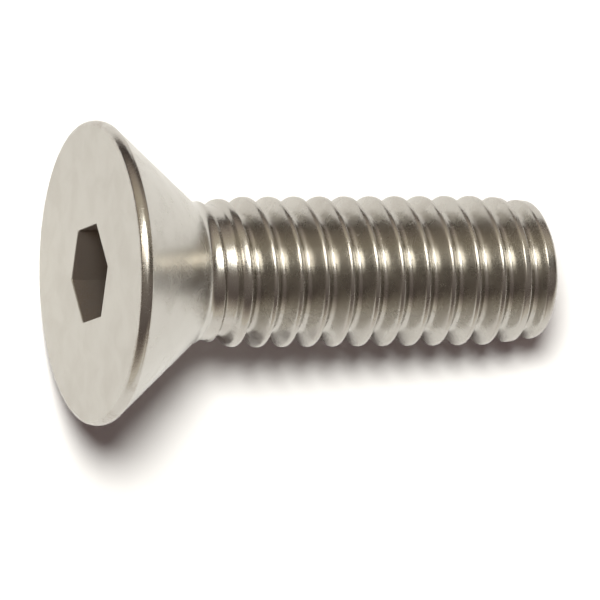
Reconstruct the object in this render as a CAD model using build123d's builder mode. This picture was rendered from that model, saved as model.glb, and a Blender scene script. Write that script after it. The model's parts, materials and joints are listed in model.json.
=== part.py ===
from build123d import *
from math import atan2, ceil, cos, degrees, floor, hypot, radians, sin, tan
import os

# Countersunk (flat head) hex socket screw, 5/16 in - 18 UNC x 1 in, stainless steel, threaded to the head.
# It lies on a table as it comes to rest, on the rim of its head and on the last ridge of its thread.
# +X runs along the screw from head to tip, +Z is up, and the origin is on the table below its middle.
# Lengths are in millimetres and angles in degrees. A station is a distance along the screw from its face.

# Head: a flat face with a broken edge, a thin straight rim, and a cone that eases into the neck
head_radius = 7.83
face_edge = 0.20
rim_height = 0.60
cone_angle = 82.0
neck_radius = 3.60
neck_ease = 0.10

# Hex socket, turned from a corner straight up, with a broken edge at its mouth and a pointed bottom
socket_width = 4.78
socket_depth = 3.60
socket_turn = -6.9
socket_mouth_edge = 0.08
socket_point_angle = 120.0

# Shank and rolled thread. The pitch line is where ridge and groove are equally wide
overall_length = 24.75
crest_radius = 3.91
pitch = 25.4 / 18
crest_height = 0.44
root_depth = 0.40
flank_angle = 30.0

# The broken edge of the end face: how far it reaches along the screw, and how far in
tip_edge = 0.30
tip_edge_depth = 0.15

# The thread starts just before the cone ends, and its ridges are lower at both ends, as rolling leaves them
thread_lead = 0.10
neck_run = 2.60
tip_run = 2.60
tip_drop = 0.29
cutter_clearance = 0.10

# Slopes, as radius over station, and the stations and radii that follow from the sizes above
pitch_radius = crest_radius - crest_height
root_radius = pitch_radius - root_depth
cone_slope = tan(radians(cone_angle / 2))
flank_slope = tan(radians(flank_angle))
neck_station = rim_height + (head_radius - neck_radius) / cone_slope
neck_slope = (crest_radius - neck_radius) / neck_run
thread_start = neck_station - thread_lead
full_ridge_end = overall_length - tip_edge - tip_run
tip_ridge_radius = crest_radius - tip_drop
tip_slope = tip_drop / tip_run

# The screw rests on the back edge of its rim and the far edge of the last ridge on its underside
root_half = pitch / 4 - root_depth * flank_slope
last_turn = floor((overall_length - tip_edge - thread_start) / pitch)
last_ridge = thread_start + last_turn * pitch
last_ridge_radius = crest_radius - tip_slope * (last_ridge - full_ridge_end)
last_ridge_half = pitch / 4 - (last_ridge_radius - pitch_radius) * flank_slope
rest_station = last_ridge + last_ridge_half
rest_radius = last_ridge_radius - tip_slope * last_ridge_half
rest_angle = atan2(head_radius - rest_radius, rest_station - rim_height)

# The direction to the tip, the direction up from the screw's axis, and the middle of the face
to_tip = Vector(cos(rest_angle), 0, -sin(rest_angle))
upward = Vector(sin(rest_angle), 0, cos(rest_angle))
face_reach = (head_radius - face_edge) * upward.X
tip_face_radius = tip_ridge_radius - tip_edge_depth
tip_reach = overall_length * to_tip.X + tip_face_radius * upward.X
face_height = head_radius * upward.Z - rim_height * to_tip.Z
face_centre = Vector((face_reach - tip_reach) / 2, 0, face_height)
screw_axis = Axis(face_centre, to_tip)


def across(station):
    """The plane square to the screw at a station, with X up and Z towards the tip."""
    return Plane(face_centre + to_tip * station, x_dir=upward, z_dir=to_tip)


def lengthwise(station):
    """The upright plane along the screw, with X up from the axis and Y towards the tip."""
    return Plane(face_centre + to_tip * station, x_dir=upward, z_dir=(0, 1, 0))


def groove_corners(bottom_radius):
    """The corners of the thread's groove, from its flat root out to clear of the ridges."""
    depth = crest_radius - root_radius + cutter_clearance
    mouth_radius = bottom_radius + depth
    mouth_half = root_half + depth * flank_slope
    return [
        (bottom_radius, -root_half),
        (mouth_radius, -mouth_half),
        (mouth_radius, mouth_half),
        (bottom_radius, root_half),
    ]


# One turn of the groove at its full depth
with BuildPart() as groove_turn:
    with BuildLine():
        Helix(pitch, pitch, root_radius, center=face_centre, direction=to_tip)
    with BuildSketch(lengthwise(0)):
        with BuildLine():
            Polyline(groove_corners(root_radius), close=True)
        make_face()
    sweep(is_frenet=True)

# The first turn, which sinks in from the shank's surface. Its pitch is measured along the slope
with BuildPart() as groove_start:
    with BuildLine():
        ridge_height = crest_radius - root_radius
        sink_angle = degrees(atan2(ridge_height, pitch))
        sink_pitch = hypot(ridge_height, pitch)
        start_centre = across(thread_start).origin
        Helix(sink_pitch, pitch, crest_radius, center=start_centre, direction=to_tip, cone_angle=-sink_angle)
    with BuildSketch(lengthwise(thread_start)):
        with BuildLine():
            Polyline(groove_corners(crest_radius), close=True)
        make_face()
    sweep(is_frenet=True)

with BuildPart() as screw:
    # The blank, out to the line that the ridges reach
    with BuildSketch(lengthwise(0)):
        with BuildLine():
            Polyline(
                (0, 0),
                (head_radius - face_edge, 0),
                (head_radius, face_edge),
                (head_radius, rim_height),
                (neck_radius + neck_ease * cone_slope, neck_station - neck_ease),
                (neck_radius + neck_ease * neck_slope, neck_station + neck_ease),
                (crest_radius, neck_station + neck_run),
                (crest_radius, full_ridge_end),
                (tip_ridge_radius, overall_length - tip_edge),
                (tip_face_radius, overall_length),
                (0, overall_length),
                close=True,
            )
        make_face()
    revolve(axis=screw_axis)

    # The hex socket and its point
    with BuildSketch(across(0)):
        RegularPolygon(socket_width / 2, side_count=6, major_radius=False, rotation=socket_turn)
    extrude(amount=socket_depth, mode=Mode.SUBTRACT)
    head_face = screw.faces().sort_by(screw_axis)[0]
    chamfer(head_face.inner_wires()[0].edges(), length=socket_mouth_edge)
    with BuildSketch(lengthwise(socket_depth)):
        with BuildLine():
            point_depth = socket_width / 2 / tan(radians(socket_point_angle / 2))
            Polyline((0, 0), (socket_width / 2, 0), (0, point_depth), close=True)
        make_face()
    revolve(axis=screw_axis, mode=Mode.SUBTRACT)

    # The thread, turn by turn until it leaves the tip
    turn_count = ceil((overall_length - thread_start) / pitch)
    with Locations([to_tip * (thread_start + turn * pitch) for turn in range(1, turn_count + 1)]):
        add(groove_turn.part, mode=Mode.SUBTRACT)
    add(groove_start.part, mode=Mode.SUBTRACT)

screw.part.label = "socket_screw"
os.makedirs("parts", exist_ok=True)
export_step(screw.part, "parts/socket_screw.step")
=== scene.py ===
import bpy
import bmesh
import json
import math
from mathutils import Matrix, Vector


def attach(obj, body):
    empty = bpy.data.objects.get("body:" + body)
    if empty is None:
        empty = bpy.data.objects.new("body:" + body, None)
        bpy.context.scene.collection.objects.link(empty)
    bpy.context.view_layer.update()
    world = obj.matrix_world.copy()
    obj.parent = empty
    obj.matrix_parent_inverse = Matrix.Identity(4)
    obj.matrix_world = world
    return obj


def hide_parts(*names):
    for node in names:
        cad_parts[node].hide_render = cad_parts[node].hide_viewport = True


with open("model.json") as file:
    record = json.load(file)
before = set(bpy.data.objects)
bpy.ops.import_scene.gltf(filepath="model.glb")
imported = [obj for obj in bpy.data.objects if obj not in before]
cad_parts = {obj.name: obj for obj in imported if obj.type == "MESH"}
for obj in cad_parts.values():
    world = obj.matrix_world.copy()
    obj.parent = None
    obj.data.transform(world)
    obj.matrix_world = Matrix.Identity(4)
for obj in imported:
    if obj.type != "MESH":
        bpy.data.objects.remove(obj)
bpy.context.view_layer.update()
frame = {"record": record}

mm = 0.001
sameSpot = 0.001 * mm  # vertices closer than this become one

# The screw's own axes, taken from the mount on its head. Stations run from its face towards its tip
headFace = next(m for m in frame["record"]["mounts"] if m["name"] == "head_face")
faceCentre = Vector(headFace["pos_m"])
toTip = -Vector(headFace["axis"]).normalized()
toSide = Vector((0, -1, 0))
upward = toSide.cross(toTip)
screwPlace = Matrix.Translation(faceCentre) @ Matrix((upward, toSide, toTip)).transposed().to_4x4()


def addNode(tree, kind, **settings):
    node = tree.nodes.new(kind)
    for name, value in settings.items():
        setattr(node, name, value)
    return node


def feed(tree, source, socket):  # source is another node's output or a plain value
    if isinstance(source, bpy.types.NodeSocket):
        tree.links.new(source, socket)
    else:
        socket.default_value = source


def calc(tree, operation, *values):
    node = addNode(tree, "ShaderNodeMath", operation=operation)
    for value, socket in zip(values, node.inputs):
        feed(tree, value, socket)
    return node.outputs[0]


firstCorner = math.radians(-6.9)  # a corner of the socket, where the columns of mesh start
coneAngle = 40.7  # degrees between the cone and the screw's axis

# Rolled thread: a strip of mesh wound along the helix, from the head's cone to the end face
threadSizes = {  # millimetres
    "Pitch": 25.4 / 18,
    "First Groove": 5.295,  # station of the groove at the top, where it begins to sink in
    "Crest Radius": 3.91,
    "Pitch Radius": 3.47,
    "Root Radius": 3.10,
    "Crest Curve": 0.45,  # radii that keep the crest and the root from being flat
    "Root Curve": 1.10,
    "Crest Rounding": 0.06,
    "Root Rounding": 0.20,
    "Entry Radius": 3.50,  # the groove's bottom in the first turn
    "Entry Height": 0.30,  # how much further out it begins
    "Start Shift": 0.605,  # how far the first turn begins past the even helix, and the next one before it
    "Second Shift": 0.14,
    "Cone Cut": 4.80,  # station where the strip meets the head
    "Neck Station": 5.47,
    "Neck Radius": 3.64,
    "Neck Run": 2.60,
    "Neck Rounding": 0.40,
    "Overall Length": 24.75,
    "Tip Edge": 0.30,  # the broken edge of the end face: how far along the screw, and how far in
    "Tip Edge Depth": 0.15,
    "Tip Run": 2.60,
    "Tip Drop": 0.29,
}
threadRatios = {
    "Flank Slope": math.tan(math.radians(30)),
    "Cone Slope": math.tan(math.radians(coneAngle)),
    "Entry Turns": 0.20,
    "Root Start": 0.80,  # turns after which the groove's bottom deepens, and how many it takes
    "Root Turns": 0.80,
    "Crown Start": 0.60,  # turns after which the ridges get their crown
    "Crown Fade": 0.35,  # share of the tip's run over which they lose it again
    "Seam Lead": 1 + firstCorner / math.tau,  # turns from the straight up direction to the seam of the mesh
    "Row Crowding": 0.65,  # 0 spaces the rows evenly, 1 packs them onto the ridges and grooves
}
threadMesh = {"Columns": 144, "Rows Per Turn": 36, "Turns": 16}


def buildThreadTree():
    tree = bpy.data.node_groups.new("rolledThread", "GeometryNodeTree")
    tree.interface.new_socket(name="Geometry", in_out="OUTPUT", socket_type="NodeSocketGeometry")
    for name in threadMesh:
        tree.interface.new_socket(name=name, in_out="INPUT", socket_type="NodeSocketInt")
    for name in [*threadSizes, *threadRatios]:
        tree.interface.new_socket(name=name, in_out="INPUT", socket_type="NodeSocketFloat")
    tree.interface.new_socket(name="Material", in_out="INPUT", socket_type="NodeSocketMaterial")
    given = addNode(tree, "NodeGroupInput").outputs
    result = addNode(tree, "NodeGroupOutput")

    def do(operation, *values):
        return calc(tree, operation, *values)

    # A flat grid: X goes once round the screw, Y goes along it turn by turn
    grid = addNode(tree, "GeometryNodeMeshGrid")
    feed(tree, do("ADD", given["Columns"], 1), grid.inputs["Vertices X"])
    rows = do("MULTIPLY_ADD", given["Rows Per Turn"], given["Turns"], 1)
    feed(tree, rows, grid.inputs["Vertices Y"])
    place = addNode(tree, "ShaderNodeSeparateXYZ")
    feed(tree, addNode(tree, "GeometryNodeInputPosition").outputs[0], place.inputs[0])
    angle = do("MULTIPLY_ADD", do("ADD", place.outputs["X"], 0.5), math.tau, firstCorner)
    lead = do("DIVIDE", angle, math.tau)
    along = do("MULTIPLY", do("ADD", place.outputs["Y"], 0.5), given["Turns"])

    # Rows crowd onto grooves and ridges, follow the helix, and stop at the cone and at the end face
    wave = do("SINE", do("MULTIPLY", along, 2 * math.tau))
    crowd = do("DIVIDE", do("MULTIPLY", wave, given["Row Crowding"]), 2 * math.tau)
    turn = do("SUBTRACT", do("ADD", do("SUBTRACT", along, crowd), lead), 2)
    reach = do("MULTIPLY_ADD", turn, given["Pitch"], given["First Groove"])
    reach = do("MAXIMUM", reach, given["Cone Cut"])
    edgeStart = do("SUBTRACT", given["Overall Length"], given["Tip Edge"])
    edgeTurn = do("DIVIDE", do("SUBTRACT", reach, edgeStart), given["Tip Edge"])
    edgeTurn = do("MINIMUM", do("MAXIMUM", edgeTurn, 0), math.pi / 2)
    edgeReach = do("MULTIPLY", do("SINE", edgeTurn), given["Tip Edge"])
    edgeDrop = do("MULTIPLY", do("SUBTRACT", 1, do("COSINE", edgeTurn)), given["Tip Edge Depth"])
    station = do("ADD", do("MINIMUM", reach, edgeStart), edgeReach)

    # A groove: straight flanks and a rounded root, which sinks in and narrows over two turns
    def groove(offset, turn, lift):
        sunk = addNode(tree, "ShaderNodeMapRange", interpolation_type="SMOOTHSTEP")
        sinking = do("DIVIDE", do("SUBTRACT", turn, given["Root Start"]), given["Root Turns"])
        feed(tree, sinking, sunk.inputs["Value"])
        width = do("ABSOLUTE", offset)
        beyond = do("SUBTRACT", width, do("MULTIPLY", given["Pitch"], 0.25))
        flank = do("DIVIDE", beyond, given["Flank Slope"])
        curve = do("DIVIDE", do("MULTIPLY", width, width), do("MULTIPLY", given["Root Curve"], 2))
        root = do("SUBTRACT", curve, do("SUBTRACT", given["Entry Radius"], given["Root Radius"]))
        root = do("MULTIPLY_ADD", root, sunk.outputs["Result"], given["Entry Radius"])
        shape = do("SMOOTH_MAX", do("ADD", flank, given["Pitch Radius"]), root, given["Root Rounding"])
        return do("ADD", shape, lift)

    # The first turn has a shorter lead, and the next one makes up for it
    fromStart = do("SUBTRACT", station, given["First Groove"])
    lost = do("DIVIDE", do("ADD", given["Start Shift"], given["Second Shift"]), given["Seam Lead"])
    startPlace = do("MULTIPLY_ADD", lead, do("SUBTRACT", given["Pitch"], lost), given["Start Shift"])
    startLift = do("MAXIMUM", do("SUBTRACT", 1, do("DIVIDE", lead, given["Entry Turns"])), 0)
    startLift = do("MULTIPLY", startLift, given["Entry Height"])
    startGroove = groove(do("SUBTRACT", fromStart, startPlace), lead, startLift)
    halfPitch = do("MULTIPLY", given["Pitch"], 0.5)
    offset = do("SUBTRACT", fromStart, do("MULTIPLY", lead, given["Pitch"]))
    offset = do("WRAP", offset, halfPitch, do("MULTIPLY", halfPitch, -1))
    grooveTurn = do("DIVIDE", do("SUBTRACT", fromStart, offset), given["Pitch"])
    early = do("MINIMUM", do("MAXIMUM", do("SUBTRACT", 2, grooveTurn), 0), 1)
    drifted = do("MULTIPLY_ADD", early, given["Second Shift"], offset)
    before = do("MAXIMUM", do("SUBTRACT", do("ADD", lead, 1), grooveTurn), 0)
    nextGroove = groove(drifted, grooveTurn, do("MULTIPLY", before, given["Pitch"]))
    grooves = do("SMOOTH_MIN", startGroove, nextGroove, given["Crest Rounding"])

    # The line that the ridges reach: cone, neck, full height, and lower again near the tip
    pastNeck = do("SUBTRACT", station, given["Neck Station"])
    cone = do("SUBTRACT", given["Neck Radius"], do("MULTIPLY", pastNeck, given["Cone Slope"]))
    neckHeight = do("SUBTRACT", given["Crest Radius"], given["Neck Radius"])
    ramp = do("MULTIPLY_ADD", do("DIVIDE", pastNeck, given["Neck Run"]), neckHeight, given["Neck Radius"])
    ramp = do("SMOOTH_MIN", ramp, given["Crest Radius"], given["Crest Rounding"])
    taperStart = do("SUBTRACT", edgeStart, given["Tip Run"])
    pastFull = do("DIVIDE", do("SUBTRACT", station, taperStart), given["Tip Run"])
    taper = do("SUBTRACT", given["Crest Radius"], do("MULTIPLY", pastFull, given["Tip Drop"]))
    ridgeLine = do("SMOOTH_MIN", ramp, taper, given["Crest Rounding"])
    limit = do("SUBTRACT", do("SMOOTH_MAX", cone, ridgeLine, given["Neck Rounding"]), edgeDrop)
    fromCrest = do("SUBTRACT", halfPitch, do("ABSOLUTE", offset))
    crestCurve = do("DIVIDE", do("MULTIPLY", fromCrest, fromCrest), do("MULTIPLY", given["Crest Curve"], 2))
    settled = do("SUBTRACT", do("DIVIDE", fromStart, given["Pitch"]), given["Crown Start"])
    untapered = do("SUBTRACT", 1, do("DIVIDE", pastFull, given["Crown Fade"]))
    crown = do("MINIMUM", do("MAXIMUM", do("MINIMUM", settled, untapered), 0), 1)
    crest = do("SUBTRACT", limit, do("MULTIPLY", crestCurve, crown))
    radius = do("SMOOTH_MIN", grooves, crest, given["Crest Rounding"])

    wound = addNode(tree, "ShaderNodeCombineXYZ")
    feed(tree, do("MULTIPLY", radius, do("COSINE", angle)), wound.inputs["X"])
    feed(tree, do("MULTIPLY", radius, do("SINE", angle)), wound.inputs["Y"])
    feed(tree, station, wound.inputs["Z"])
    setPlace = addNode(tree, "GeometryNodeSetPosition")
    feed(tree, grid.outputs["Mesh"], setPlace.inputs["Geometry"])
    feed(tree, wound.outputs[0], setPlace.inputs["Position"])
    merge = addNode(tree, "GeometryNodeMergeByDistance")
    feed(tree, setPlace.outputs[0], merge.inputs["Geometry"])
    feed(tree, sameSpot, merge.inputs["Distance"])
    realize = addNode(tree, "GeometryNodeRealizeInstances")
    feed(tree, merge.outputs[0], realize.inputs[0])
    setMaterial = addNode(tree, "GeometryNodeSetMaterial")
    feed(tree, realize.outputs[0], setMaterial.inputs["Geometry"])
    feed(tree, given["Material"], setMaterial.inputs["Material"])
    feed(tree, setMaterial.outputs[0], result.inputs[0])
    return tree


def makeThreadMesh(material):
    tree = buildThreadTree()
    holder = bpy.data.objects.new("threadHolder", bpy.data.meshes.new("threadHolder"))
    bpy.context.scene.collection.objects.link(holder)
    modifier = holder.modifiers.new("rolledThread", "NODES")
    modifier.node_group = tree
    sockets = {s.name: s.identifier for s in tree.interface.items_tree if s.in_out == "INPUT"}
    for name, value in {**threadMesh, **threadRatios}.items():
        modifier[sockets[name]] = value
    for name, value in threadSizes.items():
        modifier[sockets[name]] = value * mm
    modifier[sockets["Material"]] = material
    depsgraph = bpy.context.evaluated_depsgraph_get()
    mesh = bpy.data.meshes.new_from_object(holder.evaluated_get(depsgraph))
    bpy.data.objects.remove(holder)
    return mesh


# Head: rings of vertices from the cone over the rim and across the face, then down into the socket
headSizes = {  # millimetres
    "Radius": 7.83,
    "Rim": 0.60,
    "Rim Crown": 0.030,
    "Rim Rounding": 0.20,
    "Face Rounding": 0.20,
    "Socket Across": 4.78,
    "Socket Depth": 3.60,
    "Socket Mouth": 0.08,
    "Socket Point": 1.38,
}
turnedEnd = 5.7  # station up to which the surface is turned
threadSlot, coneSlot, rimSlot, faceSlot, socketSlot = range(5)


def arc(station, radius, size, start, end, steps):  # angles from the direction to the tip, in degrees
    angles = [math.radians(start + (end - start) * step / steps) for step in range(steps + 1)]
    return [(station + size * math.cos(a), radius + size * math.sin(a)) for a in angles]


def spread(start, end, steps):  # rows on a line between two points, with a close one by each end
    shares = [0.01, *(step / steps for step in range(1, steps)), 0.99]
    return [tuple(a + (b - a) * share for a, b in zip(start, end)) for share in shares]


def headRings():  # each is (station, radius, share of hexagon, material)
    h = headSizes
    cutStation = threadSizes["Cone Cut"]
    neckDistance = threadSizes["Neck Station"] - cutStation
    cutRadius = threadSizes["Neck Radius"] + neckDistance * threadRatios["Cone Slope"]
    setIn = h["Rim Rounding"] * math.tan(math.radians(coneAngle) / 2)
    back = arc(h["Rim"] - setIn, h["Radius"] - h["Rim Rounding"], h["Rim Rounding"], 90 - coneAngle, 90, 4)
    front = arc(h["Face Rounding"], h["Radius"] - h["Face Rounding"], h["Face Rounding"], 90, 180, 5)
    half, mouth, depth = h["Socket Across"] / 2, h["Socket Mouth"], h["Socket Depth"]
    inner = arc(mouth, half + mouth, mouth, 180, 270, 4)
    coneRows = [(cutStation, cutRadius)] + spread((cutStation, cutRadius), back[0], 16)[1:]
    rings = [(*point, 0, coneSlot) for point in coneRows]
    middle, reach = (back[-1][0] + front[0][0]) / 2, (back[-1][0] - front[0][0]) / 2
    shares = (0.9, 0.5, 0, -0.5, -0.9)
    crown = [(middle + share * reach, h["Radius"] + h["Rim Crown"] * (1 - share**2)) for share in shares]
    rings += [(*point, 0, rimSlot) for point in back + crown + front]
    rings += [(*row, faceSlot) for row in spread((0, front[-1][1], 0), (0, inner[0][1], 1), 12)]
    rings += [(*point, 1, faceSlot) for point in inner]
    rings += [(*row, socketSlot) for row in spread((mouth, half, 1), (depth, half, 1), 6)]
    pointStart = (depth, half * 0.97)  # just inside the flats
    pointEnd = (depth + h["Socket Point"], 0)
    rings += [(depth, half, 1, socketSlot), (*pointStart, 0, socketSlot)]
    rings += [(*row, 0, socketSlot) for row in spread(pointStart, pointEnd, 5)]
    return rings


def addHead(bm):
    columns = threadMesh["Columns"]
    angles = [firstCorner + math.tau * column / columns for column in range(columns)]
    flatAngles = [(angle - firstCorner) % (math.pi / 3) - math.pi / 6 for angle in angles]
    before = None
    for station, radius, hexShare, slot in headRings():
        ring = []
        for angle, flatAngle in zip(angles, flatAngles):
            reach = radius * (1 - hexShare + hexShare / math.cos(flatAngle)) * mm
            ring.append(bm.verts.new((reach * math.cos(angle), reach * math.sin(angle), station * mm)))
        for column in range(columns if before else 0):
            after = (column + 1) % columns
            face = bm.faces.new((before[column], ring[column], ring[after], before[after]))
            face.material_index = slot
            corner = slot == socketSlot and hexShare and column % (columns // 6) == 0
            if corner:
                bm.edges.get((before[column], ring[column])).smooth = False
        before = ring
    bottom = bm.verts.new((0, 0, (headSizes["Socket Depth"] + headSizes["Socket Point"]) * mm))
    for column in range(columns):
        face = bm.faces.new((before[column], bottom, before[(column + 1) % columns]))
        face.material_index = socketSlot


def closeTip(bm):
    openEdges = [edge for edge in bm.edges if edge.is_boundary]
    cap = bmesh.ops.contextual_create(bm, geom=openEdges)["faces"]
    bmesh.ops.inset_individual(bm, faces=cap, thickness=0.03 * mm)  # a narrow border keeps it flat
    bmesh.ops.poke(bm, faces=cap)


def makeScrew(materials):
    bm = bmesh.new()
    bm.from_mesh(makeThreadMesh(materials[threadSlot]))
    for face in bm.faces:
        face.material_index = coneSlot if face.calc_center_median().z < turnedEnd * mm else threadSlot
    addHead(bm)
    bmesh.ops.remove_doubles(bm, verts=bm.verts, dist=sameSpot)
    closeTip(bm)
    bmesh.ops.recalc_face_normals(bm, faces=bm.faces)
    for face in bm.faces:
        face.smooth = True
    bm.transform(screwPlace)
    mesh = bpy.data.meshes.new("socketScrew")
    bm.to_mesh(mesh)
    openEdges = sum(not edge.is_manifold for edge in bm.edges)
    print("screw mesh:", len(mesh.polygons), "faces,", openEdges, "open edges")
    bm.free()
    for material in materials:
        mesh.materials.append(material)
    screw = bpy.data.objects.new("socketScrew", mesh)
    bpy.context.scene.collection.objects.link(screw)
    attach(screw, "root")
    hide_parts("socket_screw")


# Stainless steel: one material for each way that the surface was made. Lengths are in millimetres
steelFinishes = {
    "rolledSteel": {
        "Color": (0.55, 0.533, 0.495, 1),
        "Roughness": 0.275,
        "Rolled Lines": 0.0009,  # height of the lines that follow the thread
        "Grain": 0.0008,
        "Nicks": 0.010,
        "Scratches": 0.0010,
        "Grime": 0.30,
    },
    "turnedSteel": {
        "Color": (0.59, 0.578, 0.54, 1),
        "Roughness": 0.24,
        "Rings Along": 1,  # 1 puts the rings along the screw, as on the cone and the rim
        "Ring Height": 0.0012,
        "Grain": 0.0008,
        "Nicks": 0.003,
        "Scratches": 0.0003,
        "Grime": 0.12,
    },
    "brightSteel": {
        "Color": (0.57, 0.555, 0.515, 1),
        "Roughness": 0.26,
        "Rings Along": 1,
        "Ring Height": 0.0008,
        "Drawn Lines": 0.0030,
        "Grain": 0.0010,
        "Nicks": 0.034,
        "Scratches": 0.0012,
        "Grime": 0.80,
    },
    "facedSteel": {
        "Color": (0.575, 0.56, 0.515, 1),
        "Roughness": 0.36,
        "Rings Outward": 1,  # 1 puts the rings around the socket, as on the face
        "Ring Height": 0.0012,
        "Grain": 0.0010,
        "Nicks": 0.004,
        "Scratches": 0.0012,
        "Grime": 0.15,
    },
    "punchedSteel": {
        "Color": (0.36, 0.31, 0.27, 1),
        "Roughness": 0.42,
        "Drawn Lines": 0.004,  # height of the lines that the punch drew down the walls
        "Grain": 0.002,
        "Scratches": 0.0010,
        "Grime": 0.80,
    },
}
steelMetallic = {"punchedSteel": 0.82}  # scale in the socket takes some of the shine
steelInputs = {  # what the finishes may set, and what they get otherwise
    "Roughness": 0.3,
    "Rings Along": 0,
    "Rings Outward": 0,
    "Ring Width": 0.07,
    "Ring Height": 0,
    "Rolled Lines": 0,
    "Drawn Lines": 0,
    "Grain": 0,
    "Nicks": 0,
    "Scratches": 0,
    "Grime": 0,
}
grimeColor = (0.30, 0.235, 0.18, 1)
steelPatterns = {  # how closely each pattern repeats, about once a millimetre where it is 1
    "ringWander": 0.12,
    "rolledAcross": 3.2,
    "rolledAlong": 0.5,
    "drawnAcross": 9,
    "drawnAlong": 0.6,
    "grain": 16,
    "scratches": (3.6, 0.16, 0.9),
    "scratchTurn": (0.5, 0.3, 0.9),  # radians
    "scratchPatches": 1.1,
    "nicks": 2.2,
    "smudges": 0.55,
}
roughnessChange = {"smudges": 0.08, "scratches": 0.08, "grain": 0.10}  # how much each one changes it


def makeSteelGroup():
    tree = bpy.data.node_groups.new("steelSurface", "ShaderNodeTree")
    tree.interface.new_socket(name="Color", in_out="INPUT", socket_type="NodeSocketColor")
    for name, value in steelInputs.items():
        socket = tree.interface.new_socket(name=name, in_out="INPUT", socket_type="NodeSocketFloat")
        socket.default_value = value
    tree.interface.new_socket(name="Color", in_out="OUTPUT", socket_type="NodeSocketColor")
    tree.interface.new_socket(name="Roughness", in_out="OUTPUT", socket_type="NodeSocketFloat")
    tree.interface.new_socket(name="Height", in_out="OUTPUT", socket_type="NodeSocketFloat")
    given = addNode(tree, "NodeGroupInput").outputs
    result = addNode(tree, "NodeGroupOutput").inputs

    def do(operation, *values):
        return calc(tree, operation, *values)

    def vector(x, y, z):
        node = addNode(tree, "ShaderNodeCombineXYZ")
        for value, socket in zip((x, y, z), node.inputs):
            feed(tree, value, socket)
        return node.outputs[0]

    def noise(place, scale, detail=2.0, roughness=0.5, distortion=0.0):
        node = addNode(tree, "ShaderNodeTexNoise")
        settings = {"Vector": place, "Scale": scale, "Detail": detail, "Roughness": roughness}
        for name, value in {**settings, "Distortion": distortion}.items():
            feed(tree, value, node.inputs[name])
        return node.outputs["Fac"]

    def between(value, low, high):
        node = addNode(tree, "ShaderNodeMapRange", interpolation_type="SMOOTHSTEP")
        for name, setting in {"Value": value, "From Min": low, "From Max": high}.items():
            feed(tree, setting, node.inputs[name])
        return node.outputs["Result"]

    # Places on the screw in millimetres: X and Y across it, Z along it from its face
    own = addNode(tree, "ShaderNodeMapping", vector_type="TEXTURE")
    feed(tree, addNode(tree, "ShaderNodeTexCoord").outputs["Object"], own.inputs["Vector"])
    feed(tree, faceCentre, own.inputs["Location"])
    feed(tree, screwPlace.to_euler(), own.inputs["Rotation"])
    feed(tree, (mm, mm, mm), own.inputs["Scale"])
    place = own.outputs[0]
    split = addNode(tree, "ShaderNodeSeparateXYZ")
    feed(tree, place, split.inputs[0])
    x, y, station = split.outputs
    radius = do("SQRT", do("ADD", do("MULTIPLY", x, x), do("MULTIPLY", y, y)))
    angle = do("ARCTAN2", y, x)

    # Rings left by the lathe, and lines that follow the thread without a seam
    ringPlace = do("MULTIPLY", radius, given["Rings Outward"])
    ringPlace = do("MULTIPLY_ADD", station, given["Rings Along"], ringPlace)
    ringPlace = do("DIVIDE", ringPlace, given["Ring Width"])
    wander = do("MULTIPLY", angle, steelPatterns["ringWander"])
    rings = noise(vector(ringPlace, wander, 0), 1, detail=3, roughness=0.65)
    phase = do("SUBTRACT", do("MULTIPLY", station, math.tau / threadSizes["Pitch"]), angle)
    waves = [do(wave, phase) for wave in ("COSINE", "SINE")]
    rolledAcross = [do("MULTIPLY", wave, steelPatterns["rolledAcross"]) for wave in waves]
    rolledAlong = do("MULTIPLY", station, steelPatterns["rolledAlong"])
    rolled = noise(vector(*rolledAcross, rolledAlong), 1, detail=3, roughness=0.6)
    drawnAcross = [do("MULTIPLY", part, steelPatterns["drawnAcross"]) for part in (x, y)]
    drawnAlong = do("MULTIPLY", station, steelPatterns["drawnAlong"])
    drawn = noise(vector(*drawnAcross, drawnAlong), 1)

    # Grain, broken scratches, nicks, and oil that stays in smudges
    grain = noise(place, steelPatterns["grain"], roughness=0.6)
    long = addNode(tree, "ShaderNodeMapping")
    feed(tree, place, long.inputs["Vector"])
    feed(tree, steelPatterns["scratchTurn"], long.inputs["Rotation"])
    feed(tree, steelPatterns["scratches"], long.inputs["Scale"])
    contour = noise(long.outputs[0], 1.6, detail=1, distortion=0.4)
    contour = do("ABSOLUTE", do("SUBTRACT", contour, 0.5))
    scratch = do("SUBTRACT", 1, between(contour, 0.0, 0.012))
    patches = between(noise(place, steelPatterns["scratchPatches"], detail=1), 0.50, 0.62)
    scratch = do("MULTIPLY", scratch, patches)
    spots = addNode(tree, "ShaderNodeTexVoronoi")
    feed(tree, place, spots.inputs["Vector"])
    feed(tree, steelPatterns["nicks"], spots.inputs["Scale"])
    chance = addNode(tree, "ShaderNodeSeparateXYZ")
    feed(tree, spots.outputs["Color"], chance.inputs[0])
    reach = do("MULTIPLY", do("SUBTRACT", chance.outputs[0], 0.35), 0.22)  # a third have no nick
    nick = between(do("SUBTRACT", reach, spots.outputs["Distance"]), 0, 0.06)
    smudge = noise(place, steelPatterns["smudges"], detail=3, roughness=0.6, distortion=0.5)
    smudge = between(smudge, 0.35, 0.70)

    height = do("MULTIPLY", rings, given["Ring Height"])
    for share, name in ((rolled, "Rolled Lines"), (drawn, "Drawn Lines"), (grain, "Grain")):
        height = do("MULTIPLY_ADD", share, given[name], height)
    for share, name in ((scratch, "Scratches"), (nick, "Nicks")):
        height = do("SUBTRACT", height, do("MULTIPLY", share, given[name]))
    feed(tree, height, result["Height"])

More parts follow.
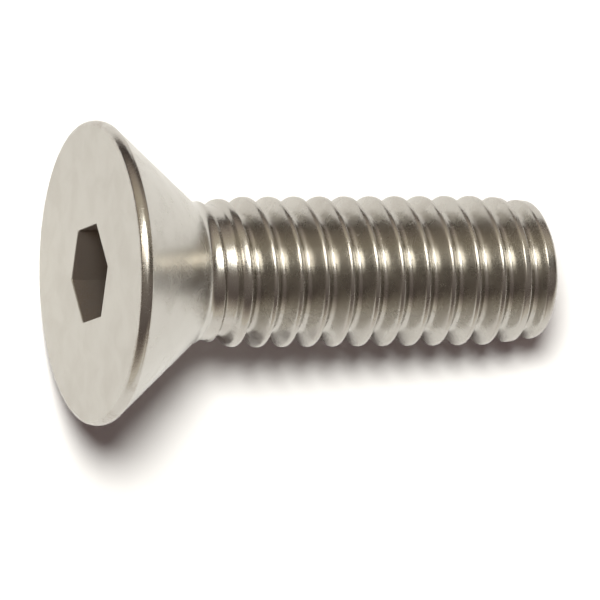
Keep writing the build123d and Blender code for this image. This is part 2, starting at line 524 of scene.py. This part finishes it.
    uneven = do("MULTIPLY", do("SUBTRACT", smudge, 0.4), roughnessChange["smudges"])
    uneven = do("MULTIPLY_ADD", scratch, roughnessChange["scratches"], uneven)
    uneven = do("MULTIPLY_ADD", do("SUBTRACT", grain, 0.5), roughnessChange["grain"], uneven)
    feed(tree, do("ADD", given["Roughness"], uneven), result["Roughness"])

    dirt = do("MULTIPLY", do("MULTIPLY", smudge, between(grain, 0.35, 0.75)), given["Grime"])
    tint = addNode(tree, "ShaderNodeMix", data_type="RGBA")
    feed(tree, dirt, tint.inputs["Factor"])
    feed(tree, given["Color"], tint.inputs[6])
    feed(tree, grimeColor, tint.inputs[7])
    feed(tree, tint.outputs[2], result["Color"])
    return tree


def makeSteel(name):
    material = bpy.data.materials.new(name)
    material.use_nodes = True
    tree = material.node_tree
    shader = tree.nodes["Principled BSDF"]
    surface = addNode(tree, "ShaderNodeGroup", node_tree=steelGroup)
    for inputName, value in steelFinishes[name].items():
        surface.inputs[inputName].default_value = value
    bump = addNode(tree, "ShaderNodeBump")
    feed(tree, mm, bump.inputs["Distance"])
    feed(tree, surface.outputs["Height"], bump.inputs["Height"])
    feed(tree, surface.outputs["Color"], shader.inputs["Base Color"])
    feed(tree, surface.outputs["Roughness"], shader.inputs["Roughness"])
    feed(tree, bump.outputs[0], shader.inputs["Normal"])
    feed(tree, steelMetallic.get(name, 1), shader.inputs["Metallic"])
    return material


steelGroup = makeSteelGroup()
steels = [makeSteel(name) for name in steelFinishes]
print("steel:", len(steels), "finishes")
makeScrew(steels)


# Camera: high above the head, looking down and a little towards the tip
camera = {  # degrees and metres
    "tilt": 11.23,  # from straight down towards the tip
    "roll": 0.506,
    "distance": 0.41436,
    "aimAcross": 0.010845,  # how far right of the face's centre and below it the camera aims
    "aimDown": 0.001376,
    "lens": 483.2,  # millimetres
}


def makeCamera():
    tilt, roll = math.radians(camera["tilt"]), math.radians(camera["roll"])
    forward = Vector((math.sin(tilt), 0, -math.cos(tilt)))
    level = Vector((math.cos(tilt), 0, math.sin(tilt)))
    down = forward.cross(level)
    right = level * math.cos(roll) + down * math.sin(roll)
    down = forward.cross(right)
    place = faceCentre + right * camera["aimAcross"] + down * camera["aimDown"]
    place -= forward * camera["distance"]
    data = bpy.data.cameras.new("camera")
    data.lens = camera["lens"]
    data.clip_start = 0.01
    obj = bpy.data.objects.new("camera", data)
    obj.matrix_world = Matrix.Translation(place) @ Matrix((right, -down, -forward)).transposed().to_4x4()
    bpy.context.scene.collection.objects.link(obj)
    bpy.context.scene.camera = obj


# Studio: the bands of light that the steel mirrors, from low on the -Y side over the top to the +Y side
studioBands = [  # (degrees from straight up, towards +Y, and colour)
    (-92, (0.85, 0.80, 0.69)),
    (-80, (0.77, 0.71, 0.61)),
    (-66, (0.35, 0.29, 0.24)),
    (-52, (0.105, 0.08, 0.072)),
    (-20, (0.195, 0.165, 0.148)),
    (-4, (0.19, 0.155, 0.13)),
    (10, (0.05, 0.04, 0.032)),
    (26, (0.03, 0.02, 0.015)),
    (54, (0.575, 0.505, 0.385)),
    (76, (0.36, 0.30, 0.26)),
    (100, (0.04, 0.03, 0.025)),
    (125, (0.08, 0.055, 0.06)),
]
lampDistance = 1.5  # metres
lamps = {  # degrees from straight up towards +Y and towards +X, metres and watts
    "keyLamp": {
        "back": 15.4,
        "side": -11.5,
        "size": (0.46, 0.46),
        "power": 25.5,
        "color": (1, 0.99, 0.94),
        "seenBySteel": False,
    },
    "glintLamp": {
        "back": 23.2,
        "side": 16,
        "size": (1.16, 0.84),
        "power": 11.7,
        "color": (1, 0.975, 0.90),
        "seenBySteel": True,
    },
    "sideLamp": {
        "back": 21,
        "side": -32,
        "size": (0.66, 0.48),
        "power": 3.8,
        "color": (1, 0.91, 0.77),
        "seenBySteel": True,
    },
}
floorSetup = {
    "size": 4,  # metres
    "farEdge": 0.030,  # how far it goes on behind the screw. Beyond it the steel mirrors the studio
    "color": (0.90, 0.90, 0.90),
    "gain": 1.12,  # how much paler the camera sees it
}
shadeTint = (0.38, 0.285, 0.35, 1)  # how the studio's own light falls on the floor


def makeWorld():
    world = bpy.data.worlds.new("studio")
    bpy.context.scene.world = world
    world.use_nodes = True
    tree = world.node_tree
    tree.nodes.clear()
    direction = addNode(tree, "ShaderNodeSeparateXYZ")
    feed(tree, addNode(tree, "ShaderNodeTexCoord").outputs["Generated"], direction.inputs[0])
    angle = calc(tree, "ARCTAN2", direction.outputs["Y"], direction.outputs["Z"])
    share = calc(tree, "MULTIPLY_ADD", angle, 1 / math.tau, 0.5)
    bands = addNode(tree, "ShaderNodeValToRGB")
    feed(tree, share, bands.inputs[0])
    stops = bands.color_ramp.elements
    for number, (degrees, color) in enumerate(studioBands):
        place = degrees / 360 + 0.5
        stop = stops[number] if number < 2 else stops.new(place)
        stop.position = place
        stop.color = (*color, 1)
    rays = addNode(tree, "ShaderNodeLightPath").outputs
    tint = addNode(tree, "ShaderNodeMix", data_type="RGBA", blend_type="MULTIPLY")
    feed(tree, rays["Is Diffuse Ray"], tint.inputs["Factor"])
    feed(tree, bands.outputs["Color"], tint.inputs[6])
    feed(tree, shadeTint, tint.inputs[7])
    studio = addNode(tree, "ShaderNodeBackground")
    feed(tree, tint.outputs[2], studio.inputs["Color"])
    white = addNode(tree, "ShaderNodeBackground")
    feed(tree, (1, 1, 1, 1), white.inputs["Color"])
    choose = addNode(tree, "ShaderNodeMixShader")
    feed(tree, rays["Is Camera Ray"], choose.inputs[0])
    feed(tree, studio.outputs[0], choose.inputs[1])
    feed(tree, white.outputs[0], choose.inputs[2])
    feed(tree, choose.outputs[0], addNode(tree, "ShaderNodeOutputWorld").inputs[0])


def makeLamp(name):
    setup = lamps[name]
    data = bpy.data.lights.new(name, "AREA")
    data.shape = "ELLIPSE"
    data.size, data.size_y = setup["size"]
    data.energy = setup["power"]
    data.color = setup["color"]
    lamp = bpy.data.objects.new(name, data)
    slopes = [math.tan(math.radians(setup[way])) for way in ("side", "back")]
    toLamp = Vector((*slopes, 1)).normalized()
    along = Vector((0, -1, 0)).cross(toLamp).normalized()
    across = toLamp.cross(along)
    turn = Matrix((along, across, toLamp)).transposed().to_4x4()
    lamp.matrix_world = Matrix.Translation(toLamp * lampDistance) @ turn
    lamp.visible_camera = False
    lamp.visible_glossy = setup["seenBySteel"]
    lamp.visible_diffuse = not setup["seenBySteel"]
    bpy.context.scene.collection.objects.link(lamp)


def makeFloor():
    bm = bmesh.new()
    bmesh.ops.create_grid(bm, x_segments=1, y_segments=1, size=floorSetup["size"] / 2)
    bmesh.ops.translate(bm, verts=bm.verts, vec=(0, floorSetup["farEdge"] - floorSetup["size"] / 2, 0))
    mesh = bpy.data.meshes.new("floor")
    bm.to_mesh(mesh)
    bm.free()
    floor = bpy.data.objects.new("floor", mesh)
    bpy.context.scene.collection.objects.link(floor)
    material = bpy.data.materials.new("whitePaper")
    material.use_nodes = True
    tree = material.node_tree
    tree.nodes.clear()
    seen = addNode(tree, "ShaderNodeLightPath").outputs["Is Camera Ray"]
    paper = addNode(tree, "ShaderNodeBsdfDiffuse")
    feed(tree, (*floorSetup["color"], 1), paper.inputs["Color"])
    bright = addNode(tree, "ShaderNodeBsdfDiffuse")
    feed(tree, (*(c * floorSetup["gain"] for c in floorSetup["color"]), 1), bright.inputs["Color"])
    choose = addNode(tree, "ShaderNodeMixShader")
    feed(tree, seen, choose.inputs[0])
    feed(tree, paper.outputs[0], choose.inputs[1])
    feed(tree, bright.outputs[0], choose.inputs[2])
    feed(tree, choose.outputs[0], addNode(tree, "ShaderNodeOutputMaterial").inputs[0])
    mesh.materials.append(material)


makeCamera()
print("camera ready")
makeWorld()
for name in lamps:
    makeLamp(name)
makeFloor()
bpy.context.scene.view_settings.view_transform = "Standard"
print("studio ready:", len(lamps), "lamps")
